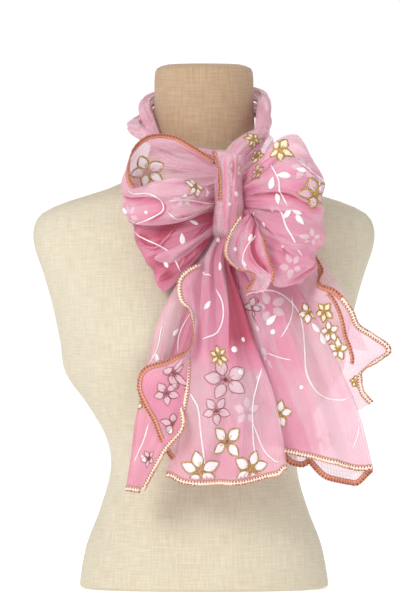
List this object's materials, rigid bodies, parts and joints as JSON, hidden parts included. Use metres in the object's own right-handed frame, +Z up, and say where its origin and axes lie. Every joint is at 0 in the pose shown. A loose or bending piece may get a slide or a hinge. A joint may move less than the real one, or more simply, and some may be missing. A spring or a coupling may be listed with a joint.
{
  "type": "scarf on dress form",
  "caption": "Sheer crinkled scarf with a floral print and narrow decorative edging, wound round the neck of a limbless linen dress form and tied in a loose bow with hanging tails.",
  "frame": {"origin": "centre of the dress form's flat base", "axes": "+Z up the form to its neck, -Y towards the viewer where the bow is, +X to the viewer's right"},
  "size_m": [0.3768, 0.263, 0.556],
  "materials": {
    "linen": "natural linen, woven",
    "voile": "sheer pink crinkled voile with a white and gold print",
    "edging": "narrow openwork edging, ivory and salmon outside, copper inside"
  },
  "bodies": {
    "root": {"dress_form": "linen", "knot_core": "voile", "knot_band": "voile", "neck_strand_inner": "voile", "neck_strand_outer": "voile", "left_loop": "voile", "left_drape": "voile", "right_loop_upper": "voile", "right_loop_lower": "voile", "right_flare": "voile", "left_tail": "voile", "left_side": "voile", "right_tail": "voile", "left_loop_edging": "edging", "right_flare_edging": "edging", "right_flare_inner_edging": "edging", "left_tail_hem": "edging", "left_ruffle_edging": "edging", "left_side_edging": "edging", "left_side_hem": "edging", "right_tail_hem": "edging", "right_tail_back_hem": "edging", "right_ruffle_edging": "edging"}
  },
  "joints": []
}
